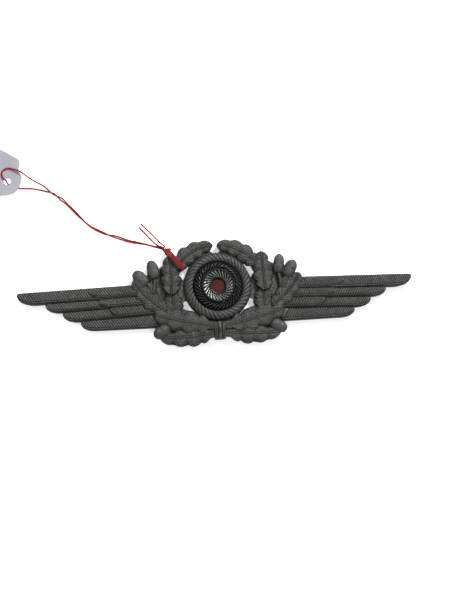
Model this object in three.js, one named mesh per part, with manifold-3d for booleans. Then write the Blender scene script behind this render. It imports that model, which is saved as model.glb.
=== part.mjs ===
// Pilot's cap wings: a cast winged oak-leaf wreath with a separately assembled ribbed cockade,
// six bendable prongs on the back, and a small swing tag tied to the wreath with red thread.
// It lies on its back: +X along the wings, +Y to the badge's top, +Z out of its face, in mm.
import * as THREE from "three";
import { mergeVertices } from "three/addons/utils/BufferGeometryUtils.js";
import Module from "manifold-3d";

const wasm = await Module();
wasm.setup();

// Driving dimensions, mm. The wreath's plan positions are measured from WREATH_Y on the middle line.
const HALF_SPAN = 62.5; // centre to wing tip
const WREATH_Y = 2.19; // above the middle of the badge's height
const COCKADE_DROP = 0.45; // the cockade and its rope ring sit this far below WREATH_Y
const BACK_Z = 1.2; // the casting's flat back
const WEB_TOP = 2.3; // the web that joins the leaves
const WING_ROOT_X = 19; // the wings start here, under the leaves
const FEATHER_BASE = 2.35; // top of the lowest primary
const ROPE_R = 9.15; // middle of the rope ring
const ROPE_HALF = 1.45; // half its width
const ROPE_TOP = 4.4;
const ROPE_RIBS = 42;
const BLACK_R = [5.3, 7.5]; // the cockade's black ring
const BLACK_RIBS = 36;
const DISH_R = [2.4, 5.2]; // the silver dish
const DISH_RIBS = 36;
const SEAT_TOP = 2.0; // the floor that the cockade's plate rests on
const PRONG = { width: 2.2, thick: 0.5, knuckle: 0.3, wing: 10, cockade: 7.6 };
const PAD = { x: 38, y: -4.6, wide: 5.2, deep: 4.4, low: 0.65, high: 1.15 };
const THREAD_R = 0.23;
const PAIR_R = 0.42; // the doubled thread

// ---- Shared makers

// A closed geometry as a manifold-3d solid.
function solid(geometry) {
  const bare = geometry.clone();
  bare.deleteAttribute("normal");
  bare.deleteAttribute("uv");
  const merged = mergeVertices(bare, 1e-3);
  return new wasm.Manifold(
    new wasm.Mesh({
      numProp: 3,
      vertProperties: new Float32Array(merged.attributes.position.array),
      triVerts: new Uint32Array(merged.index.array),
    }),
  );
}

function join(geometries) {
  return geometries.map(solid).reduce((a, b) => a.add(b));
}

function geometryOf(made) {
  const data = made.getMesh();
  return new THREE.BufferGeometry()
    .setAttribute("position", new THREE.BufferAttribute(data.vertProperties, 3))
    .setIndex(new THREE.BufferAttribute(data.triVerts, 1));
}

function mesh(name, geometry, material) {
  const made = new THREE.Mesh(geometry, material.clone());
  made.name = name;
  return made;
}

function paint(color, roughness, metalness) {
  return new THREE.MeshStandardMaterial({ color, roughness, metalness, flatShading: true });
}

// An outline of [x, y] points, extruded from z low to z high.
function plate(points, low, high, holes = []) {
  const shape = new THREE.Shape(points.map(([x, y]) => new THREE.Vector2(x, y)));
  shape.holes = holes;
  const made = new THREE.ExtrudeGeometry(shape, {
    depth: high - low,
    bevelEnabled: false,
    curveSegments: 10,
  });
  return made.translate(0, 0, low);
}

function box(x, y, z, at) {
  return new THREE.BoxGeometry(x, y, z).translate(...at);
}

// The same outline on the other wing.
function mirrored(points, side) {
  return side > 0 ? points : points.map(([x, y]) => [-x, y]).reverse();
}

// A tube of round section along a smooth curve through hand-set points.
function tube(points, radius, steps) {
  const curve = new THREE.CatmullRomCurve3(points.map((p) => new THREE.Vector3(...p)), false, "centripetal");
  const section = new THREE.Shape();
  for (let k = 0; k < 8; k++) {
    const turn = (k / 8) * 2 * Math.PI;
    section[k ? "lineTo" : "moveTo"](radius * Math.cos(turn), radius * Math.sin(turn));
  }
  return new THREE.ExtrudeGeometry(section, { steps, extrudePath: curve, bevelEnabled: false });
}

// ---- Oak leaves: a box bent along the leaf's spine, with round lobes, a dome and a vein groove

// base and tip are the ends of the spine, half its half width, foot its half width at the base,
// bend how far its middle bows to the left, low and high the heights of its edge and its dome, and
// stem the bare share of the spine.
const LEAVES = [
  { base: [1.0, -15.1], tip: [19.0, -15.8], half: 3.2, foot: 0.9, bend: -0.6, low: 2.3, high: 3.7,
    stem: 0.1 },
  { base: [14.6, -9.5], tip: [14.6, -0.5], half: 3.6, foot: 0.3, bend: 0.3, low: 2.5, high: 3.6, stem: 0 },
  { base: [16.6, -7.6], tip: [26.3, 2.9], half: 3.5, foot: 0.3, bend: -1.0, low: 2.6, high: 4.0, stem: 0 },
  { base: [13.8, 4.4], tip: [0.6, 12.9], half: 3.5, foot: 0.3, bend: -1.9, low: 2.4, high: 3.8, stem: 0.1 },
  { base: [14.9, -2.6], tip: [14.5, 10.2], half: 3.8, foot: 2.0, bend: 0.2, low: 3.0, high: 4.5, stem: 0 },
  { base: [1.0, -13.1], tip: [20.8, -8.4], half: 4.2, foot: 1.5, bend: -0.5, low: 2.8, high: 4.2, stem: 0.1 },
];
const LEAF_LOBES = 3.65; // lobes along a leaf's whole spine
const FIRST_LOBE = 0.32; // where in a lobe the spine starts
const LOBE_DEPTH = 0.3;

// Half width of a leaf at share u of its spine: an uneven blunt oval cut by lobes.
function leafHalfWidth(leaf, u) {
  const v = Math.max(0, (u - leaf.stem) / (1 - leaf.stem));
  const widest = 0.36;
  const reach = v < widest ? (widest - v) / widest : (v - widest) / (1 - widest);
  const lobe = Math.abs(Math.sin(Math.PI * (LEAF_LOBES * v + FIRST_LOBE))) ** 0.7;
  const oval = leaf.half * (1 - 0.2 * v) * Math.sqrt(Math.max(0, 1 - reach ** 2.8));
  const stalk = leaf.foot * Math.min(1, 4 * (1 - u));
  return Math.max(0.05, stalk, oval * (1 - LOBE_DEPTH * (1 - lobe)));
}

function oakLeaf(leaf, side) {
  const base = new THREE.Vector2(side * leaf.base[0], leaf.base[1]);
  const along = new THREE.Vector2(side * leaf.tip[0], leaf.tip[1]).sub(base);
  const across = new THREE.Vector2(-along.y, along.x).normalize();
  const bend = side * leaf.bend;
  const made = new THREE.BoxGeometry(1, 2, 1, 26, 4, 1);
  const spots = made.attributes.position;
  for (let i = 0; i < spots.count; i++) {
    const u = (1 - Math.cos(Math.PI * (spots.getX(i) + 0.5))) / 2;
    const w = spots.getY(i);
    const half = leafHalfWidth(leaf, u);
    const sweep = (0.35 * half * Math.abs(w) * (1 - u)) / along.length();
    const s = u + sweep;
    const slope = new THREE.Vector2(...along.toArray()).addScaledVector(across, 4 * bend * (1 - 2 * s));
    const normal = new THREE.Vector2(-slope.y, slope.x).normalize();
    const spot = base
      .clone()
      .addScaledVector(along, s)
      .addScaledVector(across, 4 * bend * s * (1 - s))
      .addScaledVector(normal, w * half);
    const dome = Math.sqrt(Math.min(1, half / 2)) * (1 - Math.abs(w)) ** 0.5;
    const groove = w === 0 ? 0.35 : 0;
    const top = leaf.low + (leaf.high - leaf.low) * Math.max(0, dome - groove);
    spots.setXYZ(i, spot.x, spot.y, spots.getZ(i) > 0 ? top : BACK_Z);
  }
  return made;
}

// ---- Acorns: a nut on its axis with a cup round its foot

// The left side's outer acorns lean a little further out than the right side's.
const LOW_ACORN = { foot: [16.0, -12.6], peak: [20.9, -15.3], r: 1.95, z: 2.8 };
const RIGHT_ACORNS = [
  { foot: [19.5, 2.6], peak: [20.4, 9.0], r: 1.75, z: 3.0 },
  { foot: [21.7, 1.4], peak: [25.0, 6.8], r: 1.95, z: 3.0 },
  LOW_ACORN,
];
const LEFT_ACORNS = [
  { foot: [19.5, 2.8], peak: [20.6, 8.9], r: 1.85, z: 3.0 },
  { foot: [22.3, 0.8], peak: [25.9, 5.6], r: 2.05, z: 3.0 },
  LOW_ACORN,
];

function acorn({ foot, peak, r, z }, side) {
  const from = new THREE.Vector2(side * foot[0], foot[1]);
  const axis = new THREE.Vector2(side * peak[0], peak[1]).sub(from);
  const length = axis.length();
  const nut = [];
  for (let k = 0; k <= 6; k++) {
    const t = (k / 6) * Math.PI;
    nut.push(new THREE.Vector2(r * Math.sin(t), length * (0.58 - 0.42 * Math.cos(t))));
  }
  const cup = [[0, 0], [0.8, 0.1], [1.12, 0.35], [1.05, 0.48], [0, 0.5]];
  const profiles = [nut, cup.map(([a, b]) => new THREE.Vector2(a * r, b * length))];
  return profiles.map((profile) => {
    const turned = new THREE.LatheGeometry(profile, 10);
    turned.scale(1, 1, 0.85);
    turned.rotateZ(Math.atan2(axis.y, axis.x) - Math.PI / 2);
    return turned.translate(from.x, from.y, z);
  });
}

// ---- Wings: four long primaries stepped back from the tip, with short coverts over three

// Each feather: its top and bottom lines at the root and at the tip, and its tip's x.
const PRIMARIES = [
  { root: [1.5, -2.6], tip: [0.45, -3.45], end: HALF_SPAN },
  { root: [-2.3, -5.4], tip: [-3.2, -6.3], end: 53.9 },
  { root: [-5.2, -8.5], tip: [-6.2, -9.4], end: 48.7 },
  { root: [-8.2, -12.5], tip: [-9.3, -12.35], end: 43.3 },
];
const COVERTS = [
  { root: [1.4, -2.3], tip: [0.85, -2.75], end: 40.5 },
  { root: [-2.2, -5.2], tip: [-2.7, -5.7], end: 37.5 },
  { root: [-5.0, -8.3], tip: [-5.5, -8.9], end: 34.2 },
];
const TIP_CORNER = 0.7; // cut off each feather's top corner

function feather({ root, tip, end }, side, low, high) {
  const tipHeight = tip[0] - tip[1];
  const points = [[WING_ROOT_X, root[0]], [end - TIP_CORNER, tip[0]], [end, tip[0] - TIP_CORNER]];
  for (let k = 1; k <= 6; k++) {
    const turn = (k / 6) * (Math.PI / 2);
    points.push([end - 1.5 * tipHeight * (1 - Math.cos(turn)), tip[0] - tipHeight * Math.sin(turn)]);
  }
  points.push([WING_ROOT_X, root[1]]);
  const shape = new THREE.Shape(mirrored(points.reverse(), side).map(([x, y]) => new THREE.Vector2(x, y)));
  const edge = 0.4;
  const bevel = { bevelThickness: edge, bevelSize: edge, bevelOffset: -edge, bevelSegments: 1 };
  return new THREE.ExtrudeGeometry(shape, { depth: high - low - edge, ...bevel }).translate(0, 0, low);
}

// A thin raised line along a feather's lower edge: its shaft.
function shaft({ root, tip, end }, side, top) {
  const lift = 0.75;
  const from = [WING_ROOT_X, root[1] + lift];
  const to = [end - 1.5 * (tip[0] - tip[1]), tip[1] + lift];
  const outline = [from, to, [to[0], to[1] + 0.35], [from[0], from[1] + 0.35]];
  return plate(mirrored(outline, side), BACK_Z, top);
}

// ---- Ribbed rings: a turned profile whose top rises and falls round the ring on slanting ribs

// profile is [r, z, rib height] points round a closed section; lean turns a rib outwards, radians.
function ribbedRing(profile, ribs, lean, middle) {
  const section = profile.map(([r, z]) => new THREE.Vector2(r, z));
  section.push(section[0].clone());
  const made = new THREE.LatheGeometry(section, 2 * ribs);
  const spots = made.attributes.position;
  const rows = section.length;
  for (let i = 0; i < spots.count; i++) {
    const [r, z, height] = profile[(i % rows) % profile.length];
    const column = Math.floor(i / rows) % (2 * ribs);
    const turn = (column / (2 * ribs)) * 2 * Math.PI + (height ? Math.tan(lean) * Math.log(r / middle) : 0);
    const lift = column % 2 ? height : 0;
    spots.setXYZ(i, r * Math.cos(turn), r * Math.sin(turn), z + lift);
  }
  return made;
}

// ---- The casting

const casting = [];
for (const side of [1, -1]) {
  // The web under the leaves fills the gaps that the real casting closes.
  const webOutline = [[-1, -16.6], [2.5, -16.4], [17.6, -15.8], [20.6, -12.2], [26, -12.2], [26, 1.2]];
  webOutline.push([22.5, 4], [18.5, 6], [14.5, 8.5], [11.5, 10.2], [3.5, 12.5], [-1, 9]);
  casting.push(plate(mirrored(webOutline, side), BACK_Z, WEB_TOP));
  LEAVES.forEach((leaf) => casting.push(oakLeaf(leaf, side)));
  (side > 0 ? RIGHT_ACORNS : LEFT_ACORNS).forEach((one) => casting.push(...acorn(one, side)));
  PRIMARIES.forEach((one, i) => {
    const top = FEATHER_BASE + 0.18 * (3 - i) + 0.3;
    casting.push(feather(one, side, BACK_Z, top));
    casting.push(shaft(one, side, top + 0.2));
  });
  COVERTS.forEach((one, i) => casting.push(feather(one, side, BACK_Z, FEATHER_BASE + 0.18 * (3 - i) + 0.65)));
}
const ROPE_PROFILE = [
  [ROPE_R - ROPE_HALF, BACK_Z, 0], [ROPE_R + ROPE_HALF, BACK_Z, 0],
  [ROPE_R + ROPE_HALF, ROPE_TOP - 1.7, 0], [ROPE_R + 0.75 * ROPE_HALF, ROPE_TOP - 0.75, 0.45],
  [ROPE_R, ROPE_TOP - 0.4, 0.4], [ROPE_R - 0.75 * ROPE_HALF, ROPE_TOP - 0.7, 0.35],
  [ROPE_R - ROPE_HALF, ROPE_TOP - 1.2, 0],
];
casting.push(ribbedRing(ROPE_PROFILE, ROPE_RIBS, 0.65, ROPE_R).translate(0, -COCKADE_DROP, 0));
const SEAT_HOLE_R = 3.2;
const seatHole = new THREE.Path().absarc(0, 0, SEAT_HOLE_R, 0, 2 * Math.PI, true);
const seatRim = new THREE.Shape().absarc(0, 0, ROPE_R - 0.5, 0, 2 * Math.PI);
const seat = plate(seatRim.getPoints(12).slice(1).map((p) => [p.x, p.y]), BACK_Z, SEAT_TOP, [seatHole]);
casting.push(seat.translate(0, -COCKADE_DROP, 0));
// The tie at the foot: a ribbed band with a pearl, a little left of the middle line.
const TIE = { x: -0.3, y: -14.5, wide: 2.6, deep: 5.4 };
casting.push(box(TIE.wide, TIE.deep, 2.9, [TIE.x, TIE.y, BACK_Z + 1.45]));
for (const x of [-1.45, -1.0, 1.0, 1.45]) {
  casting.push(box(0.3, TIE.deep - 0.2, 3.1, [TIE.x + x, TIE.y, BACK_Z + 1.55]));
}
casting.push(new THREE.SphereGeometry(0.65, 12, 8).translate(TIE.x, TIE.y + 0.15, 4.3));

// What is cut away: the openings between the ring and the leaves, and all behind the flat back.
const OPENINGS = [
  [[8.6, 6.4], [9.3, 5.0], [10.1, 3.2], [10.7, 2.1], [12.2, 3.0], [11.3, 5.3], [10.3, 6.4]],
  [[10.0, -4.5], [8.8, -6.7], [7.3, -8.5], [5.6, -10.2], [6.8, -11.1], [7.6, -10.6], [8.5, -8.8],
    [9.7, -7.5], [11.2, -7.0], [11.4, -6.0], [10.9, -4.7]],
];
let wreath = join(casting);
for (const side of [1, -1])
  for (const outline of OPENINGS) wreath = wreath.subtract(solid(plate(mirrored(outline, side), 0, 8)));
wreath = wreath.subtract(solid(box(200, 60, 4, [0, 0, BACK_Z - 2])));
// The seat inside the rope ring is bored clear of the web.
const bore = new THREE.CylinderGeometry(ROPE_R - ROPE_HALF, ROPE_R - ROPE_HALF, 6, 104).rotateX(Math.PI / 2);
wreath = wreath.subtract(solid(bore.translate(0, -COCKADE_DROP, SEAT_TOP + 3)));
const through = new THREE.CylinderGeometry(SEAT_HOLE_R, SEAT_HOLE_R, 6, 24).rotateX(Math.PI / 2);
wreath = wreath.subtract(solid(through.translate(0, -COCKADE_DROP, 1)));

// ---- The group of named pieces

const zinc = paint(0x4d4e4b, 0.55, 0.8);
const enamel = paint(0x101116, 0.15, 0.1);
const silver = paint(0xb4b8b6, 0.3, 0.95);
const felt = paint(0x7d3a36, 0.9, 0);
const steel = paint(0x8c8c88, 0.5, 0.9);
const thread = paint(0xb02028, 0.85, 0);
const card = paint(0xc3c1cd, 0.6, 0);

const badge = new THREE.Group();
badge.position.y = WREATH_Y;
badge.add(mesh("winged_wreath", geometryOf(wreath), zinc));

// The cockade: back plate, black ring, silver dish and felt, stacked on the seat.
const cockade = new THREE.Group();
cockade.position.y = -COCKADE_DROP;
badge.add(cockade);
const PLATE_TOP = SEAT_TOP + 0.45;
const turnedDisc = (r, low, high) => new THREE.CylinderGeometry(r, r, high - low, 40)
  .rotateX(Math.PI / 2).translate(0, 0, (low + high) / 2);
cockade.add(mesh("cockade_back_plate", turnedDisc(7.4, SEAT_TOP + 0.05, PLATE_TOP), steel));
const ringFoot = PLATE_TOP + 0.05;
const BLACK_PROFILE = [
  [BLACK_R[0], ringFoot, 0], [BLACK_R[1], ringFoot, 0], [BLACK_R[1], 3.9, 0],
  [7.0, 4.35, 0.3], [6.2, 4.9, 0.3], [5.55, 5.05, 0.25], [BLACK_R[0], 4.8, 0],
];
cockade.add(mesh("cockade_black_ring", ribbedRing(BLACK_PROFILE, BLACK_RIBS, -0.8, 6.4), enamel));
const DISH_PROFILE = [
  [DISH_R[0], ringFoot, 0], [DISH_R[1], ringFoot, 0], [DISH_R[1], 5.35, 0], [4.95, 5.6, 0],
  [4.6, 5.35, 0], [4.3, 5.0, 0.25], [3.0, 4.5, 0.25], [DISH_R[0], 4.45, 0],
];
cockade.add(mesh("cockade_silver_dish", ribbedRing(DISH_PROFILE, DISH_RIBS, 1.0, 3.6), silver));
const feltProfile = [[0, ringFoot], [2.3, ringFoot], [2.3, 3.7], [1.6, 4.0], [0, 4.1]];
const feltDisc = new THREE.LatheGeometry(feltProfile.map(([r, z]) => new THREE.Vector2(r, z)), 32);
cockade.add(mesh("cockade_felt_disc", feltDisc.rotateX(Math.PI / 2), felt));

// The cockade's prong bridge: a strip bent down through the seat's hole, one tail each side.
const HINGE_Z = PRONG.knuckle;
const BRIDGE_Y = 1.7;
const bridgeTop = SEAT_TOP;
const bridgeProfile = [
  [-BRIDGE_Y, PAD.low], [-BRIDGE_Y + 0.4, PAD.low], [-BRIDGE_Y + 0.4, bridgeTop - 0.4],
  [BRIDGE_Y - 0.4, bridgeTop - 0.4], [BRIDGE_Y - 0.4, PAD.low], [BRIDGE_Y, PAD.low],
  [BRIDGE_Y, bridgeTop], [-BRIDGE_Y, bridgeTop],
];
const bridge = plate(bridgeProfile, -PRONG.width / 2, PRONG.width / 2);
bridge.rotateX(Math.PI / 2).rotateZ(Math.PI / 2);
cockade.add(mesh("cockade_prong_bridge", bridge, steel));

// A prong leg lies flat along +X from its knuckle at the origin, with a round end.
function prongLeg(length) {
  const knuckle = new THREE.CylinderGeometry(PRONG.knuckle, PRONG.knuckle, PRONG.width, 12);
  const half = PRONG.width / 2;
  const outline = new THREE.Shape();
  outline.moveTo(0, -half);
  outline.lineTo(length - half, -half);
  outline.absarc(length - half, 0, half, -Math.PI / 2, Math.PI / 2);
  outline.lineTo(0, half);
  const settings = { depth: PRONG.thick, bevelEnabled: false, curveSegments: 5 };
  const strip = new THREE.ExtrudeGeometry(outline, settings);
  return geometryOf(join([knuckle, strip.translate(0, 0, -PRONG.knuckle)]));
}

function placedLeg(parent, name, length, x, y, turn) {
  const leg = mesh(name, prongLeg(length), steel);
  leg.position.set(x, y, HINGE_Z);
  leg.rotation.z = turn;
  parent.add(leg);
}
placedLeg(cockade, "cockade_prong_upper", PRONG.cockade, 0, BRIDGE_Y - 0.2, Math.PI / 2);
placedLeg(cockade, "cockade_prong_lower", PRONG.cockade, 0, -BRIDGE_Y + 0.2, -Math.PI / 2);

// Each wing's prong: a soldered pad with a leg folded each way.
for (const [name, side] of [["right", 1], ["left", -1]]) {
  const pad = box(PAD.wide, PAD.deep, PAD.high - PAD.low, [side * PAD.x, PAD.y, (PAD.high + PAD.low) / 2]);
  badge.add(mesh(name + "_prong_pad", pad, steel));
  placedLeg(badge, name + "_prong_outer", PRONG.wing, side * (PAD.x + 0.5), PAD.y, side > 0 ? 0 : Math.PI);
  placedLeg(badge, name + "_prong_inner", PRONG.wing, side * (PAD.x - 0.5), PAD.y, side > 0 ? Math.PI : 0);
}

// ---- The tag and its thread, lying beside the left wing

const TAG = { left: -82.5, top: 51.4, foot: 32.3, low: 0.43, thick: 0.4 };
const HOLE = { x: -63.7, y: 36.7, r: 1.25 };
const tagShape = new THREE.Shape();
tagShape.moveTo(TAG.left, TAG.foot);
tagShape.lineTo(-64.5, TAG.foot);
tagShape.quadraticCurveTo(-59.6, 32.5, -59.2, 38.0);
tagShape.lineTo(-59.8, 39.5);
tagShape.lineTo(-60.1, 40.8);
tagShape.quadraticCurveTo(-59.0, 42.5, -60.2, 43.9);
tagShape.lineTo(-72.5, TAG.top);
tagShape.lineTo(TAG.left, TAG.top);
tagShape.holes = [new THREE.Path().absarc(HOLE.x, HOLE.y, HOLE.r, 0, 2 * Math.PI, true)];
const tagSettings = { depth: TAG.thick, bevelEnabled: false, curveSegments: 6 };
const tagPlate = new THREE.ExtrudeGeometry(tagShape, tagSettings);
tagPlate.translate(0, 0, TAG.low);
badge.add(mesh("tag", tagPlate, card));

// The doubled thread runs from the tag along the table to the knot by the upper left leaf.
const LEAD = [
  [-60.3, 39.7, 1.5], [-59.2, 39.0, 1.4], [-57.8, 38.0, 0.7], [-55.7, 36.7, 0.45], [-52.4, 34.9, 0.45],
  [-50.8, 33.4, 0.45], [-49.7, 32.2, 0.45], [-47.6, 30.6, 0.45], [-44.8, 27.8, 0.45], [-42.0, 24.6, 0.45],
  [-38.7, 21.2, 0.45], [-34.2, 18.6, 0.45], [-30.2, 17.1, 0.45], [-26.8, 15.8, 0.5], [-22.0, 14.5, 0.9],
  [-18.7, 13.4, 1.4], [-16.3, 12.5, 2.0],
];
badge.add(mesh("tag_thread_lead", tube(LEAD, PAIR_R, 60), thread));
// The strand that comes up through the tag's hole and over its edge.
const OVER_TAG = [
  [-63.9, 36.6, 1.0], [-65.4, 37.8, 1.1], [-65.9, 39.4, 1.1], [-64.9, 40.6, 1.1], [-63.2, 40.9, 1.1],
  [-61.0, 40.1, 1.35],
];
badge.add(mesh("tag_thread_loop", tube(OVER_TAG, THREAD_R, 20), thread));
const KNOT = [-15.3, 12.1, 2.3];
const knot = new THREE.SphereGeometry(0.8, 10, 8).scale(1.1, 1, 0.9).translate(...KNOT);
badge.add(mesh("tag_thread_knot", knot, thread));
// From the knot over the leaf, down the opening and back behind the wreath.
const WRAP = [
  [-15.0, 11.4, 3.4], [-14.4, 10.3, 4.75], [-13.1, 8.4, 5.4], [-11.9, 6.8, 5.35], [-11.0, 5.6, 5.0],
  [-10.55, 4.95, 3.5], [-10.55, 4.95, 1.6], [-10.9, 5.4, 0.6], [-12.1, 7.1, 0.45], [-13.5, 9.6, 0.45],
  [-14.8, 11.2, 0.55], [-15.3, 11.9, 0.9],
];
badge.add(mesh("tag_thread_wrap", tube(WRAP, PAIR_R, 40), thread));
const TAILS = [
  [[-16.3, 12.9, 2.4], [-18.3, 13.9, 2.0], [-20.8, 16.8, 1.2], [-23.5, 20.0, 0.5]],
  [[-15.6, 13.2, 2.5], [-17.0, 14.2, 2.5], [-19.5, 17.4, 1.4], [-22.7, 21.1, 0.5]],
];
TAILS.forEach((points, i) => {
  badge.add(mesh("tag_thread_tail_" + (i + 1), tube(points, THREAD_R, 12), thread));
});

const part = new THREE.Group();
part.add(badge);
export default part;
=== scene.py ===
import math

import bmesh
import bpy
import numpy as np
from mathutils import Matrix, Vector


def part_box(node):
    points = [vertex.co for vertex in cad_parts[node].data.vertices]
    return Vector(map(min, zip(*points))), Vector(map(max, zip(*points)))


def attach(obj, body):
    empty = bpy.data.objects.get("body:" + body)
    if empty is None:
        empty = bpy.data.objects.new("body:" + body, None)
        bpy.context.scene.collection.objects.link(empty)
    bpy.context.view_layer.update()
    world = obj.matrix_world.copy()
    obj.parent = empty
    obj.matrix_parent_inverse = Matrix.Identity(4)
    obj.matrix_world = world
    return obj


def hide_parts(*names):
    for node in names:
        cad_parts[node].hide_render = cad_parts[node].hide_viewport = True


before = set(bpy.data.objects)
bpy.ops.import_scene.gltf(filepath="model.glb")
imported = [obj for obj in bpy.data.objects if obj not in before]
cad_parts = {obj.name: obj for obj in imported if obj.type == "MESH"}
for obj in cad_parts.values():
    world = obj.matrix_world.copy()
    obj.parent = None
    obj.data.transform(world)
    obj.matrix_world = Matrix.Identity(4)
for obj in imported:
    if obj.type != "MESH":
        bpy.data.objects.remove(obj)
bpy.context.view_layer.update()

MM = 0.001
plate_low, plate_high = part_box("cockade_back_plate")
COCKADE_Y = (plate_low.y + plate_high.y) / 2
COCKADE_DROP = 0.45 * MM
WREATH_Y = COCKADE_Y + COCKADE_DROP  # the wreath's plan positions are measured from here


# ---------------------------------------------------------------------------------------------
# Camera: straight down on the badge from a little left of and below its middle.
# ---------------------------------------------------------------------------------------------
toward = Vector((-0.12, -0.15, 0.98)).normalized()
across = (Vector((1, 0, 0)) - toward.x * toward).normalized()
upward = toward.cross(across)
roll = math.radians(3.05)
CAMERA_DISTANCE = 0.42
cam_right = across * math.cos(roll) - upward * math.sin(roll)
cam_up = upward * math.cos(roll) + across * math.sin(roll)
camera = bpy.data.objects.new("camera", bpy.data.cameras.new("camera"))
bpy.context.scene.collection.objects.link(camera)
aim = Vector((1.97 * MM, WREATH_Y - 4.95 * MM, 3 * MM))
camera.matrix_world = Matrix((cam_right, cam_up, toward)).transposed().to_4x4()
camera.location = aim + toward * CAMERA_DISTANCE
camera.data.lens = 80.4
camera.data.clip_start = 0.01
bpy.context.scene.camera = camera


# ---------------------------------------------------------------------------------------------
# The thread: red two-ply sewing cotton, knotted at the badge. From one cut tail it runs through
# the knot, three times round a leaf of the wreath, out to the tag's hole, and back to the knot.
# ---------------------------------------------------------------------------------------------
class Socket:
    """One socket of a node tree. Arithmetic on it adds the Math nodes that work it out."""

    def __init__(self, tree, socket):
        self.tree, self.socket = tree, socket

    @staticmethod
    def node(tree, kind, settings=None, values=None):
        """Adds a node: its settings first, then the value or link of each socket by name or number."""
        made = tree.nodes.new(kind)
        for name, value in (settings or {}).items():
            if name == "ramp":
                while len(made.color_ramp.elements) < len(value):
                    made.color_ramp.elements.new(0.5)
                for element, (at, colour) in zip(made.color_ramp.elements, value):
                    element.position, element.color = at, (*colour, 1)
            else:
                setattr(made, name, value)
        for name, value in (values or {}).items():
            if isinstance(value, Socket):
                tree.links.new(value.socket, made.inputs[name])
            else:
                made.inputs[name].default_value = value
        return Socket(tree, made.outputs[0]) if len(made.outputs) else made

    def out(self, name):
        return Socket(self.tree, self.socket.node.outputs[name])

    def math(self, operation, *values):
        return Socket.node(self.tree, "ShaderNodeMath", {"operation": operation}, dict(enumerate(values)))

    def __add__(self, other):
        return self.math("ADD", self, other)

    def __sub__(self, other):
        return self.math("SUBTRACT", self, other)

    def __mul__(self, other):
        return self.math("MULTIPLY", self, other)

    def __truediv__(self, other):
        return self.math("DIVIDE", self, other)

    def __pow__(self, other):
        return self.math("POWER", self, other)

    def __rsub__(self, other):
        return self.math("SUBTRACT", other, self)

    def __lt__(self, other):
        return self.math("LESS_THAN", self, other)

    def __gt__(self, other):
        return self.math("GREATER_THAN", self, other)

    def __abs__(self):
        return self.math("ABSOLUTE", self)

    def __neg__(self):
        return self.math("MULTIPLY", self, -1)

    __radd__ = __add__
    __rmul__ = __mul__


def sin(a):
    return a.math("SINE", a)


def cos(a):
    return a.math("COSINE", a)


def sqrt(a):
    return a.math("SQRT", a)


def low(a, b):
    return a.math("MINIMUM", a, b)


def high(a, b):
    return a.math("MAXIMUM", a, b)


def bump_at(a, width):
    """1 where a is 0, falling away to nothing on both sides."""
    return a.math("EXPONENT", (a / width) * (a / width) * -1)


def tree_with(name, wanted):
    """An empty geometry tree with a Geometry and a Material input and one number for each name."""
    tree = bpy.data.node_groups.new(name, "GeometryNodeTree")
    tree.interface.new_socket("Geometry", in_out="INPUT", socket_type="NodeSocketGeometry")
    tree.interface.new_socket("Geometry", in_out="OUTPUT", socket_type="NodeSocketGeometry")
    tree.interface.new_socket("Material", in_out="INPUT", socket_type="NodeSocketMaterial")
    for one in wanted:
        tree.interface.new_socket(one, in_out="INPUT", socket_type="NodeSocketFloat")
    return tree, Socket.node(tree, "NodeGroupInput")


def ended(tree, given, geometry):
    """Closes a tree: smooth shading, real instances, and the material."""
    smooth = Socket.node(tree, "GeometryNodeSetShadeSmooth", {}, {"Geometry": geometry})
    real = Socket.node(tree, "GeometryNodeRealizeInstances", {}, {"Geometry": smooth})
    painted = Socket.node(tree, "GeometryNodeSetMaterial", {}, {
        "Geometry": real, "Material": given.out("Material")})
    Socket.node(tree, "NodeGroupOutput", {}, {"Geometry": painted})
    return tree


def grown(tree, material, values, start=None):
    """The mesh that a tree makes with these values."""
    source = bpy.data.objects.new("source", start or bpy.data.meshes.new("source"))
    bpy.context.scene.collection.objects.link(source)
    modifier = source.modifiers.new("grow", "NODES")
    modifier.node_group = tree
    for item in tree.interface.items_tree:
        if item.in_out == "INPUT" and item.name == "Material":
            modifier[item.identifier] = material
        elif item.in_out == "INPUT" and item.name in values:
            modifier[item.identifier] = float(values[item.name])
    evaluated = source.evaluated_get(bpy.context.evaluated_depsgraph_get())
    mesh = bpy.data.meshes.new_from_object(evaluated)
    bpy.data.objects.remove(source)
    return mesh


PLAIN_WEAR = 0.5  # the tone of a mesh that has no wear, patina or painted light of its own


def piece(name, meshes, material, body, crease=40, recalculate=True):
    """One object from several closed meshes, riding on a CAD body."""
    whole = bmesh.new()
    whole.verts.layers.float.new("worn")
    for mesh in meshes:
        if "worn" not in mesh.attributes:
            worn = mesh.attributes.new("worn", "FLOAT", "POINT")
            worn.data.foreach_set("value", [PLAIN_WEAR] * len(mesh.vertices))
        whole.from_mesh(mesh)
    if recalculate:
        bmesh.ops.recalc_face_normals(whole, faces=whole.faces)
    made = bpy.data.meshes.new(name)
    whole.to_mesh(made)
    whole.free()
    made.materials.clear()
    made.materials.append(material)
    made.polygons.foreach_set("material_index", [0] * len(made.polygons))
    made.shade_smooth()
    made.set_sharp_from_angle(angle=math.radians(crease))
    obj = bpy.data.objects.new(name, made)
    bpy.context.scene.collection.objects.link(obj)
    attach(obj, body)
    return obj


def material_with(name, build):
    """A Principled material whose varying sockets build(tree, coordinates) gives."""
    made = bpy.data.materials.new(name)
    made.use_nodes = True
    tree = made.node_tree
    shader = tree.nodes["Principled BSDF"]
    place = Socket.node(tree, "ShaderNodeTexCoord").out("Object")
    for socket, value in build(tree, place).items():
        if isinstance(value, Socket):
            tree.links.new(value.socket, shader.inputs[socket])
        else:
            shader.inputs[socket].default_value = value
    return made


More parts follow.
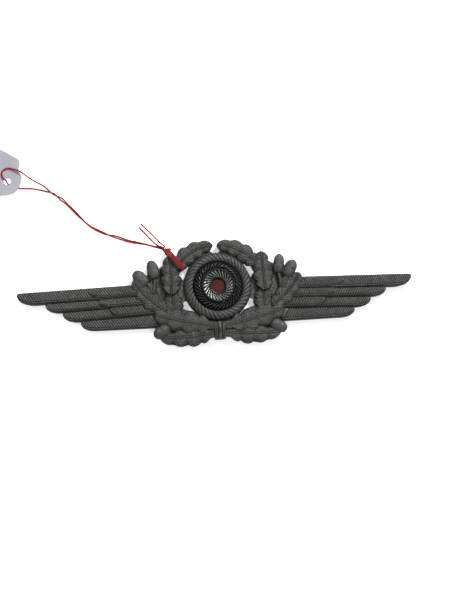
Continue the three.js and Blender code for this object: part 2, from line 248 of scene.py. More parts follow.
def noise(tree, place, size, detail=3.0, rough=0.55, warp=0.0):
    """Noise from 0 to 1 whose lumps measure about size, in metres."""
    values = {"Vector": place, "Scale": 1 / size, "Detail": detail, "Roughness": rough, "Distortion": warp}
    return Socket.node(tree, "ShaderNodeTexNoise", {}, values)


def shade(tree, factor, stops):
    return Socket.node(tree, "ShaderNodeValToRGB", {"ramp": stops}, {"Fac": factor})


def mixed(tree, factor, a, b):
    settings = {"data_type": "RGBA"}
    made = Socket.node(tree, "ShaderNodeMix", settings, {"Factor": factor})
    node = made.socket.node
    for index, value in ((6, a), (7, b)):
        if isinstance(value, Socket):
            tree.links.new(value.socket, node.inputs[index])
        else:
            node.inputs[index].default_value = (*value, 1)
    return Socket(tree, node.outputs[2])


def bumped(tree, height, distance):
    return Socket.node(tree, "ShaderNodeBump", {}, {"Height": height, "Distance": distance, "Strength": 1.0})


def cotton(tree, place):
    fibre = noise(tree, place, 0.00012, 4, 0.7)
    faded = noise(tree, place, 0.006, 2)
    base = shade(tree, fibre, [(0.25, (0.06, 0.002, 0.004)), (0.75, (0.26, 0.006, 0.010))])
    pale = mixed(tree, faded * 0.2, base, (0.30, 0.02, 0.028))
    return {
        "Base Color": pale,
        "Roughness": 0.85,
        "Normal": bumped(tree, fibre, 0.00008),
        "Sheen Weight": 0.1,
        "Specular IOR Level": 0.2,
    }


thread_red = material_with("red_cotton", cotton)

THREAD = 0.50 * MM
LEAD = [
    (-60.3, 39.7, 1.5), (-59.2, 39.0, 1.4), (-57.8, 38.0, 0.7), (-55.7, 36.7, 0.45), (-52.4, 34.9, 0.45),
    (-50.8, 33.4, 0.45), (-49.7, 32.2, 0.45), (-47.6, 30.6, 0.45), (-44.8, 27.8, 0.45), (-42.0, 24.6, 0.45),
    (-38.7, 21.2, 0.45), (-34.2, 18.6, 0.45), (-30.2, 17.1, 0.45), (-26.8, 15.8, 0.5), (-22.0, 14.5, 0.9),
    (-18.7, 13.4, 1.4), (-16.3, 12.5, 2.0),
]
OVER_TAG = [
    (-63.8, 36.6, 1.0), (-65.0, 37.7, 1.1), (-65.4, 39.2, 1.1), (-64.6, 40.4, 1.1), (-63.0, 40.8, 1.1),
    (-61.0, 40.1, 1.35),
]
UNDER_TAG = [
    (-63.8, 36.0, 0.6), (-62.4, 35.2, 0.24), (-60.2, 34.4, 0.24), (-57.4, 34.2, 0.25), (-54.9, 33.9, 0.25),
    (-51.8, 33.0, 0.28),
]
KNOT = (-15.0, 11.8, 2.4)
WRAP = [
    (-15.0, 11.4, 3.4), (-14.4, 10.3, 4.75), (-13.1, 8.4, 5.4), (-12.1, 7.1, 5.3), (-11.3, 6.1, 5.0),
    (-10.75, 5.8, 3.6), (-10.7, 5.75, 1.6), (-10.9, 5.9, 0.6), (-12.1, 7.1, 0.45), (-13.5, 9.6, 0.45),
    (-14.8, 11.2, 0.55), (-15.3, 11.9, 0.9),
]
WRAP_TURNS = 3
PLY_LENGTH = 1.3 * MM
JOIN = (-49.7, 32.2)  # where the strand from under the tag meets the other one
LEAD_TWISTS = 2.5
STRAND_APART = 0.2
STRAND_LIFT = 0.21
# where along the lead the two strands part, how far, and over what share of it
GAPS = [(0.31, 0.42, 0.03), (0.71, 0.34, 0.05)]
LOWEST_CENTRE = 0.22
TAILS = [
    [(-16.3, 12.9, 2.4), (-18.3, 13.9, 2.0), (-20.8, 16.8, 1.2), (-23.5, 20.0, 0.5)],
    [(-15.6, 13.2, 2.5), (-17.0, 14.2, 2.5), (-19.5, 17.4, 1.4), (-22.7, 21.1, 0.5)],
]


def smooth_path(points, step=0.2):
    """A smooth curve through points, sampled at an even step, all in mm from the wreath's middle."""
    points = np.array(points, float)
    padded = np.vstack([2 * points[0] - points[1], points, 2 * points[-1] - points[-2]])
    dense = []
    for p, q, r, s in zip(padded, padded[1:], padded[2:], padded[3:]):
        for t in np.linspace(0, 1, 20, endpoint=False):
            square = 2 * p - 5 * q + 4 * r - s
            cube = 3 * q - p - 3 * r + s
            dense.append(0.5 * (2 * q + (r - p) * t + square * t**2 + cube * t**3))
    dense = np.array(dense + [points[-1]])
    along = np.concatenate([[0], np.cumsum(np.linalg.norm(np.diff(dense, axis=0), axis=1))])
    even = np.linspace(0, along[-1], max(2, int(along[-1] / step)))
    return np.stack([np.interp(even, along, dense[:, k]) for k in range(3)], 1)


def beside(path, offset, lift=0.0):
    """The same path moved sideways, offset a number or one for each point."""
    run = np.gradient(path, axis=0)
    side = np.stack([-run[:, 1], run[:, 0], np.zeros(len(run))], 1)
    side /= np.linalg.norm(side, axis=1)[:, None] + 1e-9
    return path + side * np.reshape(offset, (-1, 1)) + np.array([0, 0, 1.0]) * np.reshape(lift, (-1, 1))


lead = smooth_path(LEAD)
reach = np.linspace(0, 1, len(lead))
twist = reach * 2 * math.pi * LEAD_TWISTS
apart = STRAND_APART * np.cos(twist)
for where, gap, share in GAPS:
    apart += gap * np.exp(-(((reach - where) / share) ** 2))
strand_a = beside(lead, apart, STRAND_LIFT * np.sin(twist))
strand_b = beside(lead, -apart, -STRAND_LIFT * np.sin(twist))
wrap = smooth_path(WRAP)
route = [smooth_path(TAILS[0])[::-1]]
for turn in range(WRAP_TURNS):
    spread = 0.56 - 0.08 * np.sin(np.linspace(0, math.pi, len(wrap)))
    route.append(beside(wrap, spread * (turn - (WRAP_TURNS - 1) / 2)))
route.append(strand_a[::-1])
route.append(smooth_path(OVER_TAG)[::-1])
route.append(smooth_path(UNDER_TAG))
join_at = np.argmin(np.linalg.norm(strand_b[:, :2] - np.array(JOIN), axis=1))
route.append(strand_b[join_at:])
route.append(smooth_path(TAILS[1]))
route = smooth_path(np.vstack(route)[::2], 0.2)
for _ in range(3):
    route[1:-1] = (route[:-2] + 2 * route[1:-1] + route[2:]) / 4
route[:, 2] = np.maximum(route[:, 2], LOWEST_CENTRE)
route[:, 1] += WREATH_Y / MM
route *= MM

tree, given = tree_with("two-ply thread", ["Diameter", "Twist Length"])
line = given.out("Geometry")
length = Socket.node(tree, "GeometryNodeSplineParameter").out("Length")
tilted = Socket.node(tree, "GeometryNodeSetCurveTilt", {}, {
    "Curve": line, "Tilt": length * (2 * math.pi) / given.out("Twist Length")})
section = Socket.node(tree, "GeometryNodeCurvePrimitiveCircle", {}, {"Resolution": 12, "Radius": 1.0})
turn_x, turn_y, turn_z = (Socket.node(tree, "ShaderNodeSeparateXYZ", {}, {
    "Vector": Socket.node(tree, "GeometryNodeInputPosition")}).out(k) for k in range(3))
waist = 0.84 + 0.16 * abs(turn_x)
radius = given.out("Diameter") * 0.53
flat = Socket.node(tree, "ShaderNodeCombineXYZ", {}, {
    "X": turn_x * radius * waist, "Y": turn_y * radius * waist, "Z": turn_z})
lobed = Socket.node(tree, "GeometryNodeSetPosition", {}, {"Geometry": section, "Position": flat})
swept = Socket.node(tree, "GeometryNodeCurveToMesh", {}, {
    "Curve": tilted, "Profile Curve": lobed, "Fill Caps": True})
thread_tree = ended(tree, given, swept)


def drawn_line(name, points):
    """A straight-edged curve through points, in metres."""
    curve = bpy.data.curves.new(name, "CURVE")
    curve.dimensions = "3D"
    spline = curve.splines.new("POLY")
    spline.points.add(len(points) - 1)
    spline.points.foreach_set("co", np.hstack([points, np.ones((len(points), 1))]).ravel())
    return curve


line = drawn_line("thread_line", route)
thread_mesh = grown(thread_tree, thread_red, {"Diameter": THREAD, "Twist Length": PLY_LENGTH}, line)
thread = piece("thread", [thread_mesh], thread_red, "badge", 80, False)
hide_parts("tag_thread_lead", "tag_thread_loop", "tag_thread_wrap", "tag_thread_tail_1",
            "tag_thread_tail_2")

KNOT_TURNS = 3


def knot_path():
    """Three snug turns round the lead and one strand crossing over them, in mm from the wreath's middle."""
    points = []
    for k in range(KNOT_TURNS * 14 + 1):
        turn = 2 * math.pi * k / 14
        points.append((KNOT[0] - 0.62 + 1.24 * k / (KNOT_TURNS * 14), KNOT[1] + 0.52 * math.cos(turn),
                       KNOT[2] + 0.48 * math.sin(turn)))
    points += [(KNOT[0] + 0.9, KNOT[1] + 0.2, KNOT[2] + 0.75), (KNOT[0] + 0.1, KNOT[1] - 0.1, KNOT[2] + 0.95),
               (KNOT[0] - 0.8, KNOT[1] - 0.35, KNOT[2] + 0.5), (KNOT[0] - 0.9, KNOT[1] - 0.3, KNOT[2] - 0.1)]
    return smooth_path(points, 0.12)


knot_line = knot_path()
knot_line[:, 1] += WREATH_Y / MM
line = drawn_line("knot_line", knot_line * MM)
knot_mesh = grown(thread_tree, thread_red, {"Diameter": THREAD, "Twist Length": PLY_LENGTH}, line)
knot = piece("thread_knot", [knot_mesh], thread_red, "badge", 80, False)
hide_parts("tag_thread_knot")


# ---------------------------------------------------------------------------------------------
# The casting's plate: the flat-backed zinc web behind the wings, leaves and rope ring, with the
# four openings and the cockade's seat. Its face is hidden under the relief that stands on it.
# ---------------------------------------------------------------------------------------------
def zinc_patina(tree, place):
    worn = Socket.node(tree, "ShaderNodeAttribute", {"attribute_name": "worn"}).out("Fac")
    cloud = noise(tree, place, 0.0045, 5, 0.6)
    speck = noise(tree, place, 0.0007, 4, 0.65)
    grain = noise(tree, place, 0.00016, 3, 0.6)
    # The tone rises with the tone attribute: wear on raised lines and patina in hollows, with painted shade
    # on the feathers' lower edges and the leaves' rims.
    tone = low(high(worn * 0.66 + (speck - 0.5) * 0.5 + (cloud - 0.5) * 0.35 + 0.12, 0), 1)
    metal = shade(tree, tone, [(0.0, (0.007, 0.0075, 0.007)), (0.35, (0.026, 0.027, 0.025)),
                               (0.68, (0.072, 0.074, 0.070)), (1.0, (0.19, 0.194, 0.186))])
    olive = shade(tree, noise(tree, place, 0.0028, 3, 0.6, 0.4), [(0.56, (0, 0, 0)), (0.72, (1, 1, 1))])
    tinted = mixed(tree, olive * 0.25, metal, (0.050, 0.052, 0.034))
    polish = shade(tree, speck, [(0.3, (0.62, 0.62, 0.62)), (0.75, (0.36, 0.36, 0.36))])
    return {
        "Base Color": tinted,
        "Metallic": 0.55,
        "Roughness": polish,
        "Normal": bumped(tree, speck * 0.55 + grain * 0.45, 0.00022),
        "Specular IOR Level": 0.35,
    }


zinc = material_with("patinated_zinc", zinc_patina)

PLATE_TOP = 2.3 * MM
plate = bmesh.new()
plate.from_mesh(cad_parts["winged_wreath"].data)
bmesh.ops.remove_doubles(plate, verts=plate.verts, dist=1e-6)
for vert in plate.verts:
    vert.co.z = min(vert.co.z, PLATE_TOP)
bmesh.ops.remove_doubles(plate, verts=plate.verts, dist=1e-6)
bmesh.ops.dissolve_degenerate(plate, edges=plate.edges, dist=1e-6)
plate_mesh = bpy.data.meshes.new("plate")
plate.to_mesh(plate_mesh)
plate.free()
wreath_plate = piece("wreath_plate", [plate_mesh], zinc, "badge", 30, False)
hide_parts("winged_wreath")


# ---------------------------------------------------------------------------------------------
# The wings: each has four long primaries stepped back from the tip and three short coverts over
# them, cast in one with the plate. Every feather has a raised shaft and fine slanting barbs.
# ---------------------------------------------------------------------------------------------
def relief_tree(name, wanted, across, surface):
    """A tree that bends a grid into one closed solid with a flat foot.

    surface(u, w, given) gives x, y, the top's height and its tone (wear and patina, with painted shade and
    painted highlight on some pieces), from u, 0 to 1 along, and w, -1 to 1 across. The input Columns is the
    number of steps along.
    """
    tree, given = tree_with(name, ["Columns", "Foot"] + wanted)
    rows = across + 3
    grid = Socket.node(tree, "GeometryNodeMeshGrid", {}, {
        "Size X": 1.0, "Size Y": 1.0, "Vertices X": given.out("Columns") + 1, "Vertices Y": rows})
    spot = Socket.node(tree, "ShaderNodeSeparateXYZ", {}, {
        "Vector": Socket.node(tree, "GeometryNodeInputPosition")})
    u = spot.out("X") + 0.5
    row = (spot.out("Y") + 0.5) * (rows - 1)
    on_top = row < across - 0.5
    before_far_wall = row < across + 0.5
    w = on_top * (row * (2 / (across - 1)) - 1) + (before_far_wall - on_top) - (1 - before_far_wall)
    top_mask = on_top + (row > across + 1.5)
    x, y, top, worn = surface(u, w, given)
    z = given.out("Foot") + (top - given.out("Foot")) * top_mask
    where = Socket.node(tree, "ShaderNodeCombineXYZ", {}, {"X": x, "Y": y, "Z": z})
    kept = Socket.node(tree, "GeometryNodeStoreNamedAttribute", {"data_type": "FLOAT", "domain": "POINT"}, {
        "Geometry": grid, "Name": "worn", "Value": worn * top_mask})
    moved = Socket.node(tree, "GeometryNodeSetPosition", {}, {"Geometry": kept, "Position": where})
    sealed = Socket.node(tree, "GeometryNodeMergeByDistance", {}, {"Geometry": moved, "Distance": 2e-6})
    return ended(tree, given, sealed)


SHAFT_UP = 0.66 * MM  # the shaft's height over a feather's lower edge
VANE_FROM = 0.98 * MM
GROOVES = ((0.38 * MM, 0.13 * MM), (0.94 * MM, 0.12 * MM))  # up from the edge, and width
BARB_DEPTH = 0.22 * MM


def feather_surface(u, w, given):
    """A feather from its root at u 0 to its tip at u 1, its lower edge at w -1."""
    start, end = given.out("Root X"), given.out("Tip X")
    v = (w + 1) / 2
    foot_x = start + (end - start) * u
    reach = (foot_x - start) / (end - start)
    line_top = given.out("Root Top") + (given.out("Tip Top") - given.out("Root Top")) * reach
    line_low = given.out("Root Low") + (given.out("Tip Low") - given.out("Root Low")) * reach
    height = line_top - line_low
    bend = high((foot_x - end + height * 1.6) / (height * 1.6), 0)
    rise = 1 - high(1 - bend**2.4, 0) ** 0.42
    y_low = line_low + height * rise
    pinch = low(u * 80, 1)
    y_low = line_top + (y_low - line_top) * pinch
    x_top = low(foot_x + (line_top - y_low) * 0.62, end - (1 - pinch) * 0.001)
    corner = high((x_top - end + 0.0008) / 0.0008, 0)
    y_top = line_top - (1 - sqrt(high(1 - corner * corner, 0))) * 0.0007 * low((line_top - y_low) * 1500, 1)
    x = foot_x + (x_top - foot_x) * v
    y = y_low + (y_top - y_low) * v
    up = v * (y_top - y_low)
    down = (y_top - y_low) - up
    near_tip = high((foot_x - end + 0.0025) / 0.0025, 0)
    shaft = bump_at(up - SHAFT_UP, 0.14 * MM) * low((end - foot_x) * 400, 1)
    grooves = bump_at(up - GROOVES[0][0], GROOVES[0][1]) + bump_at(up - GROOVES[1][0], GROOVES[1][1])
    vane = low(high((up - VANE_FROM) / 0.0002, 0), 1) * low(down / 0.00025, 1)
    barb = abs(sin(u * (end - start) * math.pi / given.out("Barb Pitch"))) ** 0.8
    crown = sqrt(high(1 - (v * 2 - 1) ** 2 * 0.9, 0))
    edge = 1 - low(up / 0.0004, 1)
    lip = 1 - low(down / 0.0003, 1)
    top = (
        given.out("Low Z")
        + (given.out("High Z") - given.out("Low Z")) * v
        + crown * 0.00028
        + shaft * 0.00022
        - grooves * 0.00016
        - vane * (1 - barb) * BARB_DEPTH
        - edge * edge * 0.00055
        - lip * lip * 0.0002
        - near_tip * near_tip * 0.0004
    )
    # Wear and patina: lighter on the shaft and the barb ridges, darker in the grooves. The lower edge term is
    # painted shade: it darkens each feather's lower edge, which turns down away from the light above.
    worn = low(high(0.35 + shaft * 0.4 + vane * (barb - 0.55) * 0.75 - grooves * 0.45 - edge * 0.75, 0), 1)
    return x * given.out("Side"), y, top, worn


FEATHER_INPUTS = [
    "Root X", "Tip X", "Root Top", "Root Low", "Tip Top", "Tip Low", "Low Z", "High Z", "Barb Pitch", "Side",
]
feather_tree = relief_tree("cast feather", FEATHER_INPUTS, 34, feather_surface)

WING_ROOT_X = 19
BARB = 0.80
PRIMARIES = [
    ((1.5, -2.6), (0.5, -3.45), 62.5),
    ((-2.3, -5.4), (-3.2, -6.3), 53.9),
    ((-5.2, -8.5), (-6.2, -9.4), 48.7),
    ((-8.2, -12.5), (-9.3, -12.35), 43.3),
]
COVERTS = [
    ((1.4, -2.3), (0.85, -2.75), 40.5),
    ((-2.2, -5.2), (-2.7, -5.7), 37.5),
    ((-5.0, -8.3), (-5.5, -8.9), 34.2),
]


def feather(root, tip, end, low_z, high_z, side):
    return grown(feather_tree, zinc, {
        "Columns": round((end - WING_ROOT_X) / BARB * 6),
        "Foot": 1.5 * MM,
        "Root X": WING_ROOT_X * MM,
        "Tip X": end * MM,
        "Root Top": root[0] * MM + WREATH_Y,
        "Root Low": root[1] * MM + WREATH_Y,
        "Tip Top": tip[0] * MM + WREATH_Y,
        "Tip Low": tip[1] * MM + WREATH_Y,
        "Low Z": low_z * MM,
        "High Z": high_z * MM,
        "Barb Pitch": BARB * MM,
        "Side": side,
    })


for name, side in (("right_wing", 1), ("left_wing", -1)):
    feathers = [feather(*one, 2.90 - 0.1 * i, 2.6 - 0.1 * i, side) for i, one in enumerate(PRIMARIES)]
    feathers += [feather(*one, 3.15 - 0.1 * i, 2.95 - 0.1 * i, side) for i, one in enumerate(COVERTS)]
    piece(name, feathers, zinc, "badge")


# ---------------------------------------------------------------------------------------------
# The oak leaves: six on each side of the wreath, lobed and domed, with a raised midrib, a vein
# to each lobe and fine slanting lines, cast in one with the plate.
# ---------------------------------------------------------------------------------------------
LEAF_LOBES = 3.65  # lobes along a leaf's whole spine
FIRST_LOBE = 0.32  # where in a lobe the spine starts
LOBE_DEPTH = 0.34
LEAF_TAPER = 0.2
WIDEST = 0.36  # the share of the spine at which a leaf is widest
HATCH_DEPTH = 0.17 * MM


def leaf_surface(u, w, given):
    """A leaf from its base at u 0 to its tip at u 1, bent sideways along its spine."""
    base_x, base_y = given.out("Base X"), given.out("Base Y")
    along_x, along_y = given.out("Tip X") - base_x, given.out("Tip Y") - base_y
    length = sqrt(along_x * along_x + along_y * along_y)
    over_x, over_y = -along_y / length, along_x / length
    bend = given.out("Bend")
    v = high((u - given.out("Stem")) / (1 - given.out("Stem")), 0)
    reach = abs(v - WIDEST) / ((v < WIDEST) * WIDEST + (v > WIDEST) * (1 - WIDEST) + 1e-6)
    phase = (v * LEAF_LOBES + FIRST_LOBE) * math.pi
    lobe = abs(sin(phase)) ** 0.7
    leaf_half = given.out("Half") * (1 - v * LEAF_TAPER)
    stalk = low(u * 60, 1) * low((1 - u) * 4, 1) * given.out("Base Half")
    half = high(stalk, leaf_half * sqrt(high(1 - reach**2.8, 0)) * (1 - LOBE_DEPTH * (1 - lobe)))
    side = abs(w)
    spot = u + half * side * (1 - u) * 0.35 / length
    slope_x = along_x + over_x * bend * (1 - 2 * spot) * 4
    slope_y = along_y + over_y * bend * (1 - 2 * spot) * 4
    slope = sqrt(slope_x * slope_x + slope_y * slope_y)
    bow = bend * spot * (1 - spot) * 4
    x = base_x + along_x * spot + over_x * bow - slope_y / slope * w * half
    y = base_y + along_y * spot + over_y * bow + slope_x / slope * w * half
    out = side * half
    thick = given.out("High Z") - given.out("Low Z")
    dome = sqrt(high(1 - side**4, 0)) * low(half / 0.0012, 1)
    midrib = bump_at(out, 0.00015)
    midgroove = bump_at(out - 0.00036, 0.00013)
    lobe_phase = phase - out * (0.5 * LEAF_LOBES * math.pi) / length
    lobe_line = abs(sin(lobe_phase))
    valley = (1 - lobe_line) ** 1.6 * side
    vein = bump_at(cos(lobe_phase), 0.10) * side * (1 - side**6)
    body = low(high((out - 0.00045) / 0.0003, 0), 1) * low((half - out) / 0.00035, 1)
    hatch = cos((spot * length - out * 1.1) * (2 * math.pi) / given.out("Hatch")) * 0.5 + 0.5
    top = (
        given.out("Low Z")
        + thick * dome
        + midrib * 0.00014
        - midgroove * 0.00016
        - valley * 0.00050
        + vein * 0.00012
        - body * hatch * HATCH_DEPTH
        - given.out("Droop") * u * u
    )
    # Wear and patina: lighter on the midrib, veins and hatch ridges, darker in the groove, the hatch lines
    # and the lobe valleys. The side**8 term is painted shade: it darkens the leaf's rim where it curves down
    # to the plate.
    worn = low(high(0.46 + midrib * 0.1 - midgroove * 0.24 + body * (0.5 - hatch) * 1.2 + vein * 0.12
                    - valley * 0.40 - side**8 * 0.6, 0), 1)
    return x, y, top, worn


LEAF_INPUTS = [
    "Base X", "Base Y", "Tip X", "Tip Y", "Half", "Base Half", "Bend", "Stem",
    "Low Z", "High Z", "Hatch", "Droop",
]
leaf_tree = relief_tree("cast oak leaf", LEAF_INPUTS, 45, leaf_surface)

# base, tip, half width, half width at the base, bend, edge height, dome height, bare stem's share
LEAVES = {
    "lower": ((1.0, -15.0), (19.0, -15.7), 3.2, 1.3, -0.6, 2.3, 3.7, 0.1),
    "under": ((14.6, -9.5), (14.6, -0.5), 3.6, 0.3, 0.3, 2.5, 3.6, 0.0),
    "outer": ((16.6, -7.6), (26.3, 2.9), 3.5, 0.3, -1.0, 2.6, 4.0, 0.0),
    "top": ((13.8, 4.4), (0.6, 12.9), 3.5, 0.3, -1.9, 2.4, 3.8, 0.1),
    "middle": ((14.9, -2.6), (14.5, 10.2), 3.8, 2.0, 0.2, 3.0, 4.5, 0.0),
    "inner": ((1.0, -13.1), (20.8, -8.4), 4.2, 1.5, -0.5, 2.8, 4.2, 0.1),
}
# The openings between the ring and the leaves, right side; the left ones mirror them.
OPENINGS = [
    [(8.6, 6.4), (9.3, 5.0), (10.1, 3.2), (10.7, 2.1), (12.2, 3.0), (11.3, 5.3), (10.3, 6.4)],
    [(10.0, -4.5), (8.8, -6.7), (7.3, -8.5), (5.6, -10.2), (6.8, -11.1), (7.6, -10.6), (8.5, -8.8),
     (9.7, -7.5), (11.2, -7.0), (11.4, -6.0), (10.9, -4.7)],
]


OVER_EVERYTHING = 8  # a height in mm above the whole casting


def opened(mesh, side):
    """The mesh with this side's openings cut through it."""
    whole = bpy.data.objects.new("whole", mesh)
    bpy.context.scene.collection.objects.link(whole)
    for outline in OPENINGS:
        cutter = bmesh.new()
        ends = []
        for z in (0, OVER_EVERYTHING):
            ends.append([cutter.verts.new((side * x * MM, y * MM + WREATH_Y, z * MM)) for x, y in outline])
        cutter.faces.new(ends[0])
        cutter.faces.new(ends[1][::-1])
        for k in range(len(outline)):
            after = (k + 1) % len(outline)
            cutter.faces.new((ends[0][k], ends[1][k], ends[1][after], ends[0][after]))
        bmesh.ops.recalc_face_normals(cutter, faces=cutter.faces)
        block = bpy.data.meshes.new("opening")
        cutter.to_mesh(block)
        cutter.free()
        tool = bpy.data.objects.new("opening", block)
        bpy.context.scene.collection.objects.link(tool)
        cut = whole.modifiers.new("opening", "BOOLEAN")
        cut.operation, cut.object, cut.solver = "DIFFERENCE", tool, "MANIFOLD"
    done = bpy.data.meshes.new_from_object(whole.evaluated_get(bpy.context.evaluated_depsgraph_get()))
    for tool in [m.object for m in whole.modifiers]:
        bpy.data.objects.remove(tool)
    bpy.data.objects.remove(whole)
    return done


for name, side in (("right_leaves", 1), ("left_leaves", -1)):
    leaves = []
    for base, tip, half, base_half, bend, low_z, high_z, stem in LEAVES.values():
        leaves.append(grown(leaf_tree, zinc, {
            "Columns": 210, "Foot": 1.5 * MM, "Stem": stem, "Half": half * MM, "Base Half": base_half * MM,
            "Bend": side * bend * MM,
            "Base X": side * base[0] * MM, "Base Y": base[1] * MM + WREATH_Y,
            "Tip X": side * tip[0] * MM, "Tip Y": tip[1] * MM + WREATH_Y,
            "Low Z": low_z * MM, "High Z": high_z * MM, "Hatch": 0.72 * MM, "Droop": 0.0003}))
        leaves[-1] = opened(leaves[-1], side)
    piece(name, leaves, zinc, "badge")


# ---------------------------------------------------------------------------------------------
# The rope ring: a twisted cord of zinc round the cockade's seat, half round in section with
# slanting strands, cast in one with the plate.
# ---------------------------------------------------------------------------------------------
def ring_surface(u, w, given):
    """A ribbed ring round the cockade: u goes round it and w from its inner to its outer edge."""
    t = (w + 1) / 2
    inner, outer = given.out("Inner"), given.out("Outer")
    r = inner + (outer - inner) * t
    lean = given.out("Lean") * (r * 2 / (inner + outer)).math("LOGARITHM", r * 2 / (inner + outer), math.e)
    turn = u * (2 * math.pi) + lean
    rib = abs(sin(u * given.out("Ribs") * math.pi)) ** given.out("Roundness")
    arch = high(1 - w * w, 0)
    fade = low(arch * 3, 1)
    top = (
        given.out("Inner Z") + (given.out("Outer Z") - given.out("Inner Z")) * t
        + given.out("Crown") * arch ** 0.6
        - given.out("Rib Depth") * (1 - rib) * fade
    )
    # Lighter on the rib crests. On the zinc rope that is wear; on the black ring it is a painted highlight
    # along each crest, and on the silver dish polish together with a painted highlight.
    worn = 0.38 + rib * 0.26 * fade
    return r * cos(turn), r * sin(turn) + COCKADE_Y, top, worn


RING_INPUTS = ["Inner", "Outer", "Inner Z", "Outer Z", "Crown", "Ribs", "Rib Depth", "Lean", "Roundness"]
ring_tree = relief_tree("ribbed ring", RING_INPUTS, 15, ring_surface)


def ribbed_ring(material, inner, outer, foot, inner_z, outer_z, crown, ribs, depth, lean, roundness=0.5):
    return grown(ring_tree, material, {
        "Columns": ribs * 12, "Foot": foot * MM, "Inner": inner * MM, "Outer": outer * MM,
        "Inner Z": inner_z * MM, "Outer Z": outer_z * MM, "Crown": crown * MM, "Ribs": ribs,
        "Rib Depth": depth * MM, "Lean": lean, "Roundness": roundness})


ROPE_RIBS = 42
rope = ribbed_ring(zinc, 7.75, 10.75, 1.6, 3.2, 2.6, 1.3, ROPE_RIBS, 0.27, math.tan(0.65), 0.9)
piece("rope_ring", [rope], zinc, "badge", 60)


# ---------------------------------------------------------------------------------------------
# The acorns: three zinc ones on each side, each a smooth nut in a scaly cup, cast in one with the
# plate. The upper two on each side stand on stalks.
# ---------------------------------------------------------------------------------------------
def turned(profile, steps, knurl=0.0):
    """A closed turned mesh from [r, height] points that start and end on the axis, about Z."""
    made = bmesh.new()
    rows = []
    for i, (r, z) in enumerate(profile):
        if r == 0:
            rows.append([made.verts.new((0, 0, z))])
            continue
        ring = []
        for k in range(steps):
            turn = 2 * math.pi * k / steps
            out = r * (1 + knurl * (1 if (k + i) % 2 else -1))
            ring.append(made.verts.new((out * math.cos(turn), out * math.sin(turn), z)))
        rows.append(ring)
    for lower, upper in zip(rows, rows[1:]):
        for k in range(steps):
            after = k + 1
            corners = [lower[k % len(lower)], lower[after % len(lower)]]
            corners += [upper[after % len(upper)], upper[k % len(upper)]]
            made.faces.new(list(dict.fromkeys(corners)))
    mesh = bpy.data.meshes.new("turned")
    made.to_mesh(mesh)
    made.free()
    return mesh


def laid(mesh, foot, peak, z, squash=0.62):
    """Lays a turned mesh of length 1 along the line from foot to peak, in mm from the wreath's middle."""
    foot, peak = np.array(foot, float), np.array(peak, float)
    axis = peak - foot
    length = np.linalg.norm(axis)
    axis /= length
    spots = np.array([v.co for v in mesh.vertices])
    x = foot[0] + axis[0] * spots[:, 2] * length - axis[1] * spots[:, 0]
    y = foot[1] + axis[1] * spots[:, 2] * length + axis[0] * spots[:, 0]
    place = np.stack([x, y + WREATH_Y / MM, z + spots[:, 1] * squash], 1) * MM
    mesh.vertices.foreach_set("co", place.ravel())
    return mesh


# foot, peak, radius and axis height: the left side's outer acorn leans further out than the right's
LOW_ACORN = ((16.0, -12.6), (20.9, -15.3), 1.95, 2.8)
ACORNS = {
    1: [((19.5, 2.6), (20.4, 9.0), 1.75, 2.6), ((21.7, 1.4), (25.0, 6.8), 1.95, 2.6), LOW_ACORN],
    -1: [((19.5, 2.8), (20.6, 8.9), 1.85, 2.6), ((22.3, 0.8), (25.9, 5.6), 2.05, 2.6), LOW_ACORN],
}
STALKS = [
    [(20.6, -2.0, 2.6), (20.0, 0.2, 3.1), (19.5, 2.7, 3.2)],
    [(20.8, -2.2, 2.6), (21.0, -0.2, 3.1), (21.8, 1.5, 3.2)],
]
acorns = []
for side in (1, -1):
    for foot, peak, r, z in ACORNS[side]:
        foot, peak = (side * foot[0], foot[1]), (side * peak[0], peak[1])
        nut = [(r * math.sin(a), 0.58 - 0.42 * math.cos(a)) for a in np.linspace(0, math.pi, 19)]
        nut[0], nut[-1] = (0, 0.16), (0, 1.0)
        nut[-2] = (0.35 * nut[-2][0], 0.995)
        cup = [(0, 0.0), (0.35 * r, 0.01), (0.72 * r, 0.07), (0.92 * r, 0.15), (1.02 * r, 0.25)]
        cup += [(1.06 * r, 0.36), (1.05 * r, 0.45), (0.99 * r, 0.49), (0.9 * r, 0.48), (0, 0.48)]
        acorns.append(laid(turned(nut, 32), foot, peak, z))
        acorns.append(laid(turned(cup, 36, 0.02), foot, peak, z))

tree, given = tree_with("smooth stalk", ["Radius"])
circle = Socket.node(tree, "GeometryNodeCurvePrimitiveCircle", {}, {
    "Resolution": 12, "Radius": given.out("Radius")})
swept = Socket.node(tree, "GeometryNodeCurveToMesh", {}, {
    "Curve": given.out("Geometry"), "Profile Curve": circle, "Fill Caps": True})
stalk_tree = ended(tree, given, swept)
for side in (1, -1):
    for points in STALKS:
        stalk_line = smooth_path(points, 0.3) * np.array([side, 1, 1])
        stalk_line[:, 1] += WREATH_Y / MM
        line = drawn_line("stalk_line", stalk_line * MM)
        acorns.append(grown(stalk_tree, zinc, {"Radius": 0.55 * MM}, line))
piece("acorns", acorns, zinc, "badge")


